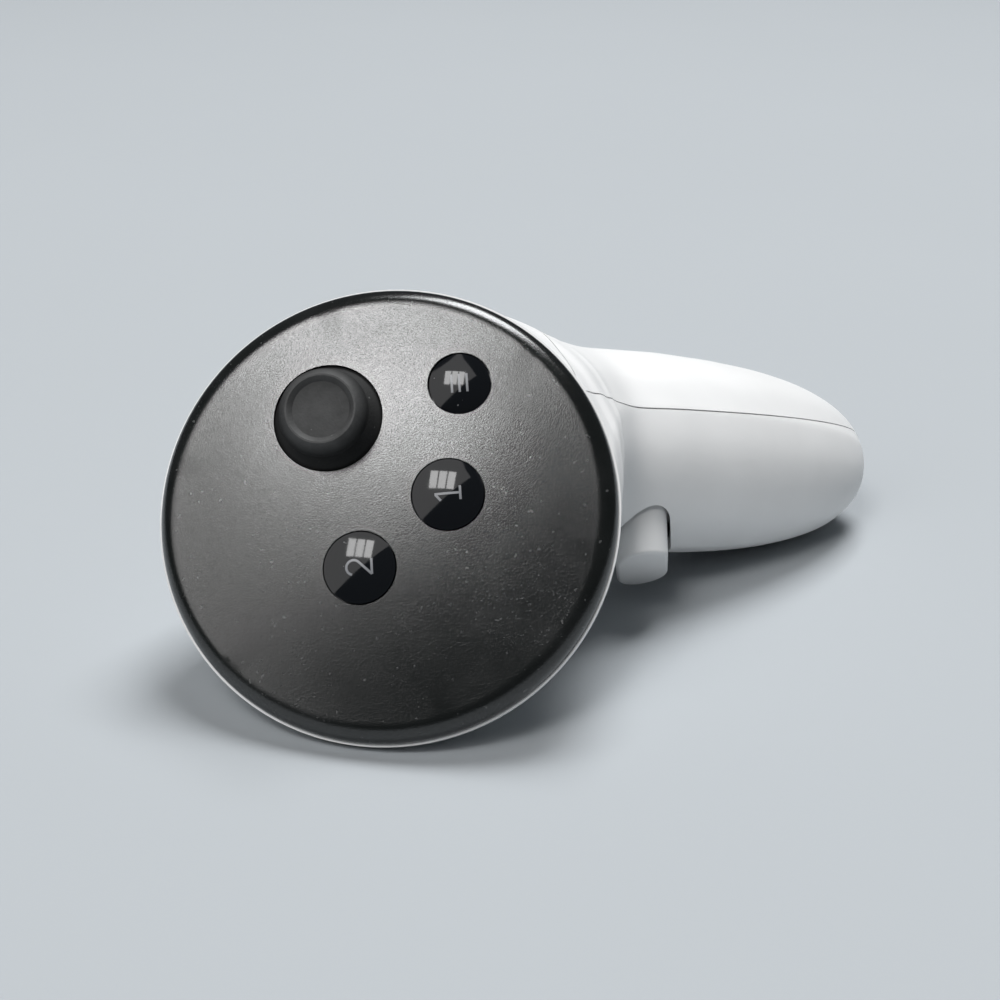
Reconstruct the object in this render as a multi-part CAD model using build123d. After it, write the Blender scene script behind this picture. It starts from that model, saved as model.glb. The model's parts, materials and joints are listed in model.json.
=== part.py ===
from build123d import *
import os
from math import acos, asin, cos, degrees, hypot, pi, radians, sin, tan

os.makedirs("parts", exist_ok=True)

# The model is drawn in the wand's own frame: X towards the palm side, Y forward,
# Z straight out of the face, with the origin in the centre of the rim's top edge.
# At the end every piece is laid down as the wand lies on a table, with Z up.

# Rest on the table: the direction, in the wand's frame, that points up when it lies
# down, and the turn about that direction that brings its length along X
rest_up = (0.778, -0.1435, 0.6116)
rest_turn = 0.0

# Head: the round rim and the wall of the shell
disc_radius = 33.5
rim_height = 1.6
rim_lip = 0.3
wall = 2.0
neck_wall_extra = 0.3
inner_clearance = 0.35

# Bowl under the rim, from the rim to the handle: rear y, rear z, front y, front z,
# centre x and half width of each section
bowl_shares = (
    (-1.003, -0.064, 0.968, -0.165, 0.030, 0.980),
    (-1.009, -0.098, 0.896, -0.306, 0.069, 0.943),
    (-1.017, -0.126, 0.733, -0.515, 0.132, 0.873),
    (-1.024, -0.176, 0.546, -0.682, 0.192, 0.794),
    (-1.029, -0.232, 0.352, -0.818, 0.250, 0.714),
    (-1.036, -0.296, 0.157, -0.926, 0.305, 0.639),
    (-1.051, -0.365, -0.034, -1.007, 0.352, 0.576),
    (-1.077, -0.437, -0.218, -1.068, 0.384, 0.531),
    (-1.120, -0.509, -0.387, -1.128, 0.402, 0.506),
    (-1.188, -0.569, -0.535, -1.201, 0.411, 0.498),
    (-1.267, -0.626, -0.661, -1.283, 0.416, 0.497),
    (-1.349, -0.690, -0.760, -1.376, 0.421, 0.500),
    (-1.434, -0.762, -0.852, -1.455, 0.425, 0.503),
)

# Handle: its axis, its half widths along the axis and how its end rounds off
handle_angle = 40.0
handle_drift = 1.5
handle_offset = 12.9
handle_drop = 5.0
handle_start = 33.0
handle_swell_at = 47.5
handle_end = 99.5
handle_start_half = 16.33
handle_half = 16.85
handle_depth_share = 0.9
handle_power = 2.455
palm_power = 2.68
handle_station_shares = (
    0.543, 0.588, 0.638, 0.693, 0.749, 0.804, 0.849,
    0.888, 0.919, 0.944, 0.963, 0.978, 0.990, 0.9985,
)
cavity_end = 89.0
quarter_steps = 6

# Seam of the battery cover
seam_rise = 2.7
seam_slope = 1.8
seam_gap = 0.24
cover_start = 20.0

# Hole for a wrist cord, with a flat seat at its outer end and a notch beside it
cord_hole_radius = 1.6
cord_hole_along = 93.6
cord_hole_aside = 4.4
cord_seat_radius = 2.4
cord_web = 4.4
cord_notch_half = 3.4
cord_notch_depth = 4.0

# Faceplate
face_step = 0.3
face_edge_radius = 3.0
face_edge_rise = 2.75
face_crown = 1.1
face_thickness = 2.0
skirt_inset = 2.6
skirt_wall = 1.1
skirt_depth = 1.4

# Buttons: places on the face, radii and travel
button_gap = 0.2
letter_button_radius = 5.1
menu_button_radius = 4.45
button_a_at = (0.9, -9.3)
button_b_at = (-8.5, 3.8)
menu_button_at = (17.1, -11.9)
switch_spots = (button_a_at, button_b_at, menu_button_at)
button_proud = 0.55
menu_button_proud = 0.2
button_crown = 0.5
button_flange = 0.8
button_flange_height = 0.9
button_drop = 1.3
button_stem_radius = 1.5
button_travel = 0.9
button_rest_gap = 1.05

# Thumbstick: cap, skirt and pivots
stick_at = (13.4, 7.2)
stick_pivot_depth = 6.0
stick_hole_radius = 7.9
stick_play = 0.4
stick_range = 14.0
stick_press = 0.4
skirt_shell = 1.0
stem_seat_share = 1.6
cap_radius = 6.5
cap_top = 9.9
cap_height = 2.9
cap_edge_drop = 2.4
cap_edge_inset = 0.35
cap_bulge = (0.6, 0.43)
cap_lip = 0.25
cap_dish_radius = 4.8
cap_dish_depth = 0.6
cap_dish_floor_share = 0.85
cap_neck_radius = 3.6
stem_radius = 1.5
stem_gap = 0.05

# Gimbal inside the thumbstick module
module_side = 16.0
module_wall = 1.0
module_top_drop = 4.6
module_depth = 7.4
trunnion_radius = 1.0
running_gap = 0.05
arch_inner = 4.5
arch_thickness = 1.1
arch_width = 5.4
slot_play = 0.3
cradle_half = (3.2, 2.9, 1.7)
cross_pin_radius = 0.8
block_half = 1.9
block_height_share = 0.8
cradle_slot_share = 1.2
trunnion_root_share = 0.9
sensor_box = (3.0, 8.0, 6.0)
click_box = (2.6, 5.0, 4.2)

# Boards and the frame behind the face
board_drop = 5.2
board_thickness = 0.8
board_radius = 28.4
frame_thickness = 1.6
frame_radius = 29.2
frame_bore = 9.0
switch_side = 4.2
switch_height = 1.5
mat_thickness = 0.7
mat_margin = 2.4
switch_base_share = 0.7
switch_dome_share = 0.6
switch_hole_share = 0.8
board_slack = 0.4
light_ring_radius = 27.6
light_ring_wall = 0.4
emitter_bed_share = 1.0
light_ring_height = 3.2
emitter_size = (0.8, 1.9, 1.5)
emitter_count = 12
screw_radius = 0.9
screw_head_radius = 1.7
screw_head_height = 1.1
screw_length = 4.6
screw_slot_share = 0.5
screw_slack = 0.2
screw_circle = 24.0
screw_angles = (100.0, 160.0, 285.0)
boss_radius = 2.2

# Trigger: pivot, outline and width
trigger_at_x = 7.0
trigger_pivot = (18.5, -14.0)
trigger_reach = 26.6
trigger_width = 15.0
trigger_range = 16.0
trigger_gap = 0.45
trigger_hub_radius = 3.2
trigger_pin_radius = 1.0
trigger_edge_radius = 0.6
trigger_hub_half = 6.0
trigger_spring_room = 2.6
trigger_front_shares = ((0.215, 0.035), (0.062, -0.50), (0.125, -0.92))
trigger_tip_shares = ((0.015, -1.0), (-0.125, -0.955))
trigger_back_shares = ((-0.285, -0.72), (-0.345, -0.44))
trigger_root_shares = ((-0.345, -0.24), (-0.06, -0.06))
skirt_arc = (15.2, 16.5)
skirt_arc_angles = (208.0, 236.0)
slot_front_share = 0.25
slot_back_share = -0.52
ear_thickness = 1.4
ear_half = 2.9
magnet_radius = 1.5
magnet_half = 1.5
magnet_shares = (-0.109, -0.199)
trigger_board = (7.0, 8.0, 0.8)

# Grip button: its outline seen from the side, its hinge and its travel
grip_at_y = -36.0
grip_near_z = -23.6
grip_far_z = -41.0
grip_half = 4.7
grip_face_x = -6.5
grip_face_lean = 8.0
grip_face_turn = 6.0
grip_inner_x = 3.4
grip_taper = 3.0
grip_edge_radius = 0.7
grip_gap = 0.4
grip_end_gap = 0.9
grip_flange = 1.2
grip_flange_thickness = 1.3
grip_pivot = (6.0, -43.6)
grip_hub_radius = 2.1
grip_hub_half = 3.0
grip_pin_radius = 0.75
grip_range = 7.0
grip_spring_room = 2.6
ear_reach = 9.0
ear_rise = 8.5
ear_rise_start = 3.6
grip_board_x = 6.7
grip_board = (6.4, 5.6, 0.8)

# Battery bay
cell_radius = 7.25
cell_length = 49.3
cell_nub_radius = 2.7
cell_nub_height = 1.2
cell_start = 34.8
cell_aside = 2.5
cell_gap = 0.25
cradle_wall = 1.2
cradle_end_wall = 1.4
contact_gap = 0.3
contact_thickness = 0.5
contact_half = 4.5
motor_radius = 4.6
motor_length = 8.0
motor_gap = 0.4
motor_fit = 0.05
tab_aside = 10.3
tab_alongs = (62.0, 66.0)
tab_top = -0.4
tab_thickness = 1.4

# Springs
spring_radius = 1.85
spring_wire_radius = 0.25
spring_pitch = 0.95
spring_turns = 2
cell_spring_wire_radius = 0.35
cell_spring_pitch = 1.15
cell_spring_turns = 2
cell_spring_radius = 3.4
cell_spring_room = 2.9
spring_end_gap = 0.03

# One overrun serves every cut that passes out of a piece
overrun = 5.0


def unit_axis():
    """Direction of the handle from the head to its end."""
    lean = radians(handle_drift)
    drop = radians(handle_angle)
    return Vector(sin(lean), -cos(drop) * cos(lean), -sin(drop) * cos(lean))


axis = unit_axis()
across = Vector(1, 0, 0) - axis * axis.X
handle_frame = Plane(origin=(handle_offset, 0, -handle_drop), x_dir=across, z_dir=axis)


def in_handle(x, back, along):
    """Location in the handle: x to the palm side, back towards the face, along its axis."""
    return handle_frame.location * Pos(x, back, along)


def handle_half_width(along, power):
    """Half width of the handle at a place along its axis, with how bluntly it ends."""
    if along <= handle_swell_at:
        share = (along - handle_start) / (handle_swell_at - handle_start)
        return handle_start_half + (handle_half - handle_start_half) * share
    share = (along - handle_swell_at) / (handle_end - handle_swell_at)
    return handle_half * (1 - share**power) ** (1 / power)


def oval_at(plane, half_x, half_y):
    """One oval section on a plane, in four quarters that meet on its two axes."""
    headings = [(0, 1), (-1, 0), (0, -1), (1, 0)]
    quarters = []
    for index in range(4):
        angles = [pi / 2 * (index + step / quarter_steps) for step in range(quarter_steps + 1)]
        points = [(half_x * cos(a), half_y * sin(a)) for a in angles]
        quarters.append(Spline(points, tangents=[headings[index], headings[(index + 1) % 4]]))
    return plane * make_face(quarters)


def bowl_section(shares, inset):
    """Section of the bowl whose rear and front points are given as shares of the radius."""
    rear_y, rear_z, front_y, front_z, centre_x, half = [share * disc_radius for share in shares]
    run, drop = front_y - rear_y, front_z - rear_z
    centre = (centre_x, (rear_y + front_y) / 2, (rear_z + front_z) / 2)
    plane = Plane(origin=centre, x_dir=(1, 0, 0), z_dir=(0, drop, -run))
    return oval_at(plane, half - inset, hypot(run, drop) / 2 - inset)


def handle_section(along, inset):
    """Section of the handle square to its axis."""
    half = handle_half_width(along, handle_power)
    palm_half = handle_half_width(along, palm_power)
    plane = Plane(in_handle((palm_half - half) / 2, 0, along))
    return oval_at(plane, (palm_half + half) / 2 - inset, half * handle_depth_share - inset)


def body_form(inset=0.0, top=0.0, end=handle_end):
    """The outer form of head and handle, drawn in by an inset, as one smooth loft."""
    rim = disc_radius - inset
    rim_plane = Plane(origin=(0, 0, -rim_height), x_dir=(1, 0, 0), z_dir=(0, 0, -1))
    sections = [oval_at(rim_plane, rim - rim_lip, rim - rim_lip)]
    sections += [bowl_section(shares, inset) for shares in bowl_shares]
    for share in handle_station_shares:
        along = share * handle_end
        if along < end:
            sections.append(handle_section(along, inset))
    if end < handle_end:
        sections.append(handle_section(end, inset))
    return loft(sections) + rod(rim, -rim_height, top)


def solid_box(low, high):
    """Box between two opposite corners."""
    size = [top - bottom for bottom, top in zip(low, high)]
    centre = [(top + bottom) / 2 for bottom, top in zip(low, high)]
    return Pos(*centre) * Box(*size)


def rod(radius, low, high):
    """Upright rod between two heights on the origin's axis."""
    return Pos(0, 0, (low + high) / 2) * Cylinder(radius, high - low)


def tube(outer_radius, inner_radius, low, high):
    """Upright tube between two heights."""
    return rod(outer_radius, low, high) - rod(inner_radius, low - overrun, high + overrun)


def side_rod(radius, low, high, y, z):
    """Rod along X between two places, at a given y and z."""
    return Pos((low + high) / 2, y, z) * Rot(0, 90, 0) * Cylinder(radius, high - low)


def ahead_rod(radius, low, high, x, z):
    """Rod along Y between two places, at a given x and z."""
    return Pos(x, (low + high) / 2, z) * Rot(90, 0, 0) * Cylinder(radius, high - low)


def coil(radius, wire_radius, pitch, turns):
    """Spring round Z, one unbroken wire swept along quarter turns that climb steadily."""
    steps = 4 * turns
    arcs = []
    for step in range(steps):
        angles = [radians(90 * (step + part / 2)) for part in range(3)]
        lifts = [pitch * (step + part / 2) / 4 for part in range(3)]
        points = [(radius * cos(a), radius * sin(a), h) for a, h in zip(angles, lifts)]
        arcs.append(ThreePointArc(*points))
    path = Wire(arcs)
    start = Plane(origin=path @ 0, z_dir=path % 0)
    return sweep(start * Circle(wire_radius), path=path)


def coil_self_gap(wire_radius, pitch):
    """Least gap between one turn of a coil and the next."""
    return pitch - 2 * wire_radius


# Body form, the hollow inside it, and the room that inner pieces may fill
outer = body_form()
hollow_inset = wall + neck_wall_extra
hollow = body_form(hollow_inset, rim_height, cavity_end)
room = body_form(hollow_inset + inner_clearance, rim_height, cavity_end - inner_clearance)

# Seam plane in the handle: it rises to the palm side towards the handle's end
seam_place = in_handle(seam_rise, 0, handle_start) * Rot(0, seam_slope, 0)
seam_size = 4 * disc_radius


def palm_side(shift):
    """Half space on the palm side of the seam, beyond the cover's upper edge."""
    block = Box(seam_size, seam_size, seam_size, align=(Align.MIN, Align.CENTER, Align.CENTER))
    beyond = Box(seam_size, seam_size, seam_size, align=(Align.CENTER, Align.CENTER, Align.MIN))
    return (seam_place * Pos(shift, 0, 0) * block) & (in_handle(0, 0, cover_start + shift) * beyond)


def face_height(x, y):
    """Height of the faceplate's top over a place on it."""
    shoulder = disc_radius - face_step - face_edge_radius
    sphere = (shoulder**2 + face_crown**2) / (2 * face_crown)
    return face_edge_rise + face_crown - sphere + (sphere**2 - x**2 - y**2) ** 0.5


def dome_middle(radius, crown, top):
    """Point halfway out on a dome that is centred on the axis, as radius and height."""
    sphere = (radius**2 + crown**2) / (2 * crown)
    return radius / 2, top - sphere + (sphere**2 - (radius / 2) ** 2) ** 0.5


def make_faceplate():
    """Domed black plate with a rounded edge, four holes and a locating skirt."""
    edge = disc_radius - face_step
    shoulder = edge - face_edge_radius
    top = face_edge_rise + face_crown
    bend = sin(radians(45))
    low_top = top - face_thickness
    inner_edge = edge - face_thickness
    with BuildSketch(Plane.XZ) as profile:
        with BuildLine():
            Line((0, top), (0, low_top))
            ThreePointArc(
                (0, low_top),
                dome_middle(shoulder, face_crown, low_top),
                (shoulder, low_top - face_crown),
            )
            Line((shoulder, low_top - face_crown), (inner_edge, 0))
            Line((inner_edge, 0), (edge, 0))
            ThreePointArc(
                (edge, 0),
                (shoulder + face_edge_radius * bend, face_edge_rise * bend),
                (shoulder, face_edge_rise),
            )
            crown_middle = dome_middle(shoulder, face_crown, top)
            ThreePointArc((shoulder, face_edge_rise), crown_middle, (0, top))
        make_face()
    plate = revolve(profile.sketch, Axis.Z)
    skirt_outer = disc_radius - skirt_inset
    skirt = tube(skirt_outer, skirt_outer - skirt_wall, -skirt_depth, low_top - face_crown / 2)
    plate = plate + skirt
    for (x, y), radius in button_holes:
        plate -= Pos(x, y, 0) * rod(radius, -overrun, top + overrun)
    x, y = stick_at
    plate -= Pos(x, y, -stick_pivot_depth) * Sphere(skirt_radius + stick_play)
    for angle in screw_angles:
        spot = Pos(screw_circle * cos(radians(angle)), screw_circle * sin(radians(angle)), 0)
        post = rod(boss_radius, screw_post_low, low_top - face_crown / 2)
        plate += spot * post
        plate -= spot * rod(screw_radius, screw_post_low - overrun, low_top - face_crown)
    return plate


# Heights that several pieces share
stick_face = face_height(*stick_at)
skirt_radius = hypot(stick_hole_radius, stick_face + stick_pivot_depth) - stick_play
stem_top = skirt_radius + stem_seat_share * skirt_shell
board_top = -board_drop
board_low = board_top - board_thickness
frame_top = board_low
frame_low = frame_top - frame_thickness
screw_post_low = board_top
module_top = -module_top_drop
module_low = module_top - module_depth
button_places = {
    "button_a": (button_a_at, letter_button_radius, button_proud),
    "button_b": (button_b_at, letter_button_radius, button_proud),
    "menu_button": (menu_button_at, menu_button_radius, menu_button_proud),
}
button_holes = [(place, radius + button_gap) for place, radius, _ in button_places.values()]


def make_button(place, radius, proud):
    """Domed button with a retaining flange under the face and a stem to its switch."""
    x, y = place
    top = face_height(x, y) + proud
    flange_top = face_height(x, y) - face_thickness - inner_clearance
    flange_low = flange_top - button_flange_height
    with BuildSketch(Plane.XZ) as profile:
        with BuildLine():
            Line((0, top), (0, flange_low))
            Line((0, flange_low), (radius + button_flange, flange_low))
            Line((radius + button_flange, flange_low), (radius + button_flange, flange_top))
            Line((radius + button_flange, flange_top), (radius, flange_top))
            Line((radius, flange_top), (radius, top - button_crown))
            crown_middle = dome_middle(radius, button_crown, top)
            ThreePointArc((radius, top - button_crown), crown_middle, (0, top))
        make_face()
    body = revolve(profile.sketch, Axis.Z)
    stem_low = board_top + switch_height + button_rest_gap
    return Pos(x, y, 0) * (body + rod(button_stem_radius, stem_low, flange_low))


def make_switches():
    """Dome switches on the board, one under each button."""
    half = switch_side / 2
    group = []
    for x, y in switch_spots:
        top = board_top + switch_height
        base_top = board_top + switch_height * switch_base_share
        base = solid_box((-half, -half, board_top), (half, half, base_top))
        group.append(Pos(x, y, 0) * (base + rod(half * switch_dome_share, board_top, top)))
    return Compound(children=group)


def make_button_mat():
    """Silicone mat on the board, cut out round the switches."""
    pads = [Pos(x, y, 0) * rod(switch_side + mat_margin, 0, mat_thickness) for x, y in switch_spots]
    mat = pads[0] + pads[1] + pads[2]
    (ax, ay), (bx, by), (mx, my) = switch_spots
    for (x0, y0), (x1, y1) in (((ax, ay), (bx, by)), ((ax, ay), (mx, my))):
        run = hypot(x1 - x0, y1 - y0)
        turn = degrees(acos((x1 - x0) / run)) * (1 if y1 > y0 else -1)
        link = Box(run, switch_side, mat_thickness, align=(Align.MIN, Align.CENTER, Align.MIN))
        mat += Pos(x0, y0, 0) * Rot(0, 0, turn) * link
    for x, y in switch_spots:
        mat -= Pos(x, y, 0) * rod(switch_side * switch_hole_share, -overrun, overrun)
    mat -= module_cutout(-overrun, overrun, board_slack)
    return Pos(0, 0, board_top) * mat



def module_cutout(low, high, slack):
    """Room round the thumbstick module and the boxes on its sides."""
    x, y = stick_at
    half = module_side / 2
    return solid_box(
        (x - half - click_box[0] - slack, y - half - sensor_box[0] - slack, low),
        (x + half + sensor_box[0] + slack, y + half + slack, high),
    )


def screw_spots():
    """Places of the three screws that pull the face onto the frame."""
    angles = [radians(angle) for angle in screw_angles]
    return [Pos(screw_circle * cos(a), screw_circle * sin(a), 0) for a in angles]


def make_main_board():
    """Round circuit board behind the face."""
    board = rod(board_radius, board_low, board_top) & room
    board -= module_cutout(board_low - overrun, board_top + overrun, board_slack)
    for spot in screw_spots():
        board -= spot * rod(screw_radius + board_slack, board_low - overrun, board_top + overrun)
    return board


def make_inner_frame():
    """Frame plate under the board, with the two ears that carry the trigger's pin."""
    plate = rod(frame_radius, frame_low, frame_top) & room
    plate -= module_cutout(frame_low - overrun, frame_top + overrun, board_slack)
    plate -= Pos(-frame_bore / 2, -frame_bore, 0) * rod(frame_bore, frame_low - overrun, frame_top + overrun)
    for spot in screw_spots():
        plate -= spot * rod(screw_radius + board_slack / 2, frame_low - overrun, frame_top + overrun)
    y, z = trigger_pivot
    for side in (-1, 1):
        inner_x = trigger_at_x + side * (trigger_hub_half + trigger_gap)
        outer_x = inner_x + side * ear_thickness
        low_x, high_x = min(inner_x, outer_x), max(inner_x, outer_x)
        ear = solid_box((low_x, y - ear_half, z), (high_x, y + ear_half, frame_low + frame_thickness / 2))
        plate += ear + side_rod(ear_half, low_x, high_x, y, z)
    plate -= side_rod(trigger_pin_radius, -disc_radius, disc_radius, y, z)
    return plate


def make_light_ring():
    """Upright band of flexible board that carries the tracking lights."""
    ring_outer = light_ring_radius + light_ring_wall
    return tube(ring_outer, light_ring_radius, board_top, board_top + light_ring_height)


def make_emitters():
    """Tracking lights spaced round the outside of the band."""
    depth, width, height = emitter_size
    group = []
    for index in range(emitter_count):
        turn = Rot(0, 0, 360 / emitter_count * (index + 0.5))
        start = light_ring_radius + light_ring_wall * emitter_bed_share
        low = board_top + (light_ring_height - height) / 2
        group.append(turn * solid_box((start, -width / 2, low), (start + depth, width / 2, low + height)))
    return Compound(children=group)


def make_screws(spots, head_low):
    """Identical screws: a pan head below and a shank that runs up."""
    group = []
    for spot in spots:
        head = rod(screw_head_radius, head_low, head_low + screw_head_height)
        slot = Box(2 * screw_head_radius, screw_radius * screw_slot_share, screw_head_height)
        head -= Pos(0, 0, head_low) * slot
        shank = rod(screw_radius, head_low + screw_head_height, head_low + screw_head_height + screw_length)
        group.append(spot * (head + shank))
    return Compound(children=group)


def polar(radius, angle):
    """Offset at a radius and an angle in degrees."""
    return radius * cos(radians(angle)), radius * sin(radians(angle))


def skirt_shell_at(outer_radius, inner_radius, low_angle):
    """Part of a hollow ball above a polar angle, open at the bottom."""
    ball = Sphere(outer_radius) - Sphere(inner_radius)
    low = outer_radius * cos(radians(low_angle))
    return ball - solid_box((-seam_size, -seam_size, -seam_size), (seam_size, seam_size, low))


def stick_spot():
    """Location of the thumbstick's pivot."""
    x, y = stick_at
    return Pos(x, y, -stick_pivot_depth)


def make_stick_cap():
    """Thumbstick cap with a dished top, a ball-shaped skirt and a bore for the stem."""
    top = cap_top + stick_pivot_depth
    low, edge = top - cap_height, top - cap_edge_drop
    floor = top - cap_dish_depth
    floor_radius = cap_dish_radius * cap_dish_floor_share
    lip = cap_dish_radius + cap_lip
    bulge = (lip + (cap_radius - lip) * cap_bulge[0], top - cap_edge_drop * cap_bulge[1])
    skirt_inner = skirt_radius - skirt_shell
    with BuildSketch(Plane.XZ) as profile:
        with BuildLine():
            Line((0, floor), (floor_radius, floor))
            Line((floor_radius, floor), (cap_dish_radius, top))
            Line((cap_dish_radius, top), (lip, top))
            ThreePointArc((lip, top), bulge, (cap_radius, edge))
            Line((cap_radius, edge), (cap_radius - cap_edge_inset, low))
            Line((cap_radius - cap_edge_inset, low), (cap_neck_radius, low))
            Line((cap_neck_radius, low), (cap_neck_radius, skirt_inner))
            Line((cap_neck_radius, skirt_inner), (0, skirt_inner))
            Line((0, skirt_inner), (0, floor))
        make_face()
    cap = revolve(profile.sketch, Axis.Z)
    hole_angle = degrees(asin(stick_hole_radius / (skirt_radius + stick_play)))
    cap += skirt_shell_at(skirt_radius, skirt_inner, hole_angle + stick_range + skirt_shell)
    cap -= rod(stem_radius + stem_gap, 0, stem_top + stick_press)
    return stick_spot() * cap


def make_stick_stem():
    """Stem that carries the cap, with its cross pin through the cradle."""
    stem = rod(stem_radius, 0, stem_top)
    stem += Box(2 * block_half, 2 * cross_pin_radius + stem_radius, 2 * block_half * block_height_share)
    stem += side_rod(cross_pin_radius, -cradle_half[0], cradle_half[0], 0, 0)
    return stick_spot() * stem


def make_stick_cradle():
    """Lower gimbal cradle: it turns about Y and carries the stem's cross pin."""
    x, y, z = cradle_half
    room_half = block_half + slot_play
    cradle = Box(2 * x, 2 * y, 2 * z)
    slot_half = (cross_pin_radius + stem_radius / 2 + slot_play) * cradle_slot_share
    cradle -= Box(2 * room_half, 2 * slot_half, 4 * z)
    cradle -= side_rod(cross_pin_radius + running_gap, -x - overrun, x + overrun, 0, 0)
    reach = module_side / 2
    for side in (-1, 1):
        low, high = sorted((side * y * trunnion_root_share, side * reach))
        cradle += ahead_rod(trunnion_radius, low, high, 0, 0)
    return stick_spot() * cradle


def make_stick_arch():
    """Upper gimbal arch: it turns about X and has the slot that the stem slides in."""
    outer_radius = arch_inner + arch_thickness
    ring = Rot(90, 0, 0) * (Cylinder(outer_radius, arch_width) - Cylinder(arch_inner, 2 * arch_width))
    arch = ring & solid_box((-seam_size, -seam_size, -trunnion_radius / 2), (seam_size, seam_size, seam_size))
    reach = module_side / 2
    for side in (-1, 1):
        low, high = sorted((side * (arch_inner + arch_thickness / 2), side * reach))
        arch += side_rod(trunnion_radius, low, high, 0, 0)
    slot_run = arch_inner * sin(radians(stick_range)) + stem_radius + 2 * slot_play
    slot_half = stem_radius + slot_play
    slot = solid_box((-slot_run, -slot_half, 0), (slot_run, slot_half, seam_size))
    return stick_spot() * (arch - slot)


def make_stick_base():
    """Square housing of the thumbstick, open at the top, with bores for the trunnions."""
    half = module_side / 2
    low, high = module_low + stick_pivot_depth, module_top + stick_pivot_depth
    base = solid_box((-half, -half, low), (half, half, high))
    inside = half - module_wall
    base -= solid_box((-inside, -inside, low + module_wall), (inside, inside, high + overrun))
    bore = trunnion_radius + running_gap
    base -= side_rod(bore, -half - overrun, half + overrun, 0, 0)
    base -= ahead_rod(bore, -half - overrun, half + overrun, 0, 0)
    return stick_spot() * base


def side_block(size, side):
    """Box that sits on one outer side of the thumbstick's housing."""
    depth, width, height = size
    half = module_side / 2
    centre_z = (module_low + module_top) / 2 + stick_pivot_depth
    return {
        "right": Pos(half + depth / 2, 0, centre_z) * Box(depth, width, height),
        "left": Pos(-half - depth / 2, 0, centre_z) * Box(depth, width, height),
        "rear": Pos(0, -half - depth / 2, centre_z) * Box(width, depth, height),
    }[side]



def trigger_point(shares):
    """Point of the trigger's outline, from its shares of the reach."""
    y, z = trigger_pivot
    return y + shares[0] * trigger_reach, z + shares[1] * trigger_reach


def trigger_outline():
    """Side outline of the trigger's fin."""
    front_top, front_mid, front_low = [trigger_point(p) for p in trigger_front_shares]
    tip_mid, tip_end = [trigger_point(p) for p in trigger_tip_shares]
    back_mid, back_top = [trigger_point(p) for p in trigger_back_shares]
    root_back, root_hub = [trigger_point(p) for p in trigger_root_shares]
    edges = [
        ThreePointArc(front_top, front_mid, front_low),
        ThreePointArc(front_low, tip_mid, tip_end),
        ThreePointArc(tip_end, back_mid, back_top),
        Line(back_top, root_back),
        Line(root_back, root_hub),
        Line(root_hub, front_top),
    ]
    return make_face(edges)


def slab(face, low, high):
    """A face drawn in Y and Z, thickened between two places along X."""
    body = extrude(Plane.YZ * face, high - low)
    return Pos(low, 0, 0) * body


def make_trigger():
    """Finger trigger: a curved fin, its hub and an arc that closes the slot behind it."""
    half = trigger_width / 2
    low, high = trigger_at_x - half, trigger_at_x + half
    fin = slab(trigger_outline(), low, high)
    fin = fillet(fin.edges().filter_by(GeomType.CIRCLE), trigger_edge_radius)
    y, z = trigger_pivot
    trigger = fin + side_rod(trigger_hub_radius, low, high, y, z)
    start, stop = skirt_arc_angles
    band = Circle(skirt_arc[1]) - Circle(skirt_arc[0])
    wedge_points = [(0, 0), polar(seam_size, start), polar(seam_size, stop), (0, 0)]
    wedge = make_face(Polyline(*wedge_points))
    band = Pos(y, z) * (band & wedge)
    trigger += slab(band, low, high)
    pocket = trigger_hub_radius + ear_thickness
    left = trigger_at_x - trigger_hub_half
    right = trigger_at_x + trigger_hub_half - trigger_spring_room
    trigger -= side_rod(pocket, low - overrun, left, y, z)
    trigger -= side_rod(pocket, right, high + overrun, y, z)
    trigger -= side_rod(trigger_pin_radius + running_gap, low - overrun, high + overrun, y, z)
    magnet_y, magnet_z = trigger_magnet_place()
    low_x, high_x = trigger_at_x - magnet_half, trigger_at_x + magnet_half
    trigger -= side_rod(magnet_radius, low_x, high_x, magnet_y, magnet_z)
    return trigger



def trigger_magnet_place():
    """Place of the magnet inside the trigger."""
    return trigger_point(magnet_shares)


def make_trigger_slot():
    """Cut in the shell that the trigger passes through over its whole travel."""
    y, z = trigger_pivot
    front = y + slot_front_share * trigger_reach
    back = y + slot_back_share * trigger_reach
    half = trigger_width / 2 + trigger_gap
    low = z - 2 * trigger_reach
    return solid_box((trigger_at_x - half, back, low), (trigger_at_x + half, front, frame_low))


def grip_outline(grow=0.0, near_grow=0.0):
    """Pill outline of the grip button in Y and Z, grown by a gap where it is a cut."""
    near, far = grip_near_z + grow + near_grow, grip_far_z - grow
    half = grip_half + grow
    centre = (near + far) / 2
    return Pos(grip_at_y, centre) * Rot(0, 0, 90) * SlotOverall(near - far, 2 * half)


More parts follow.
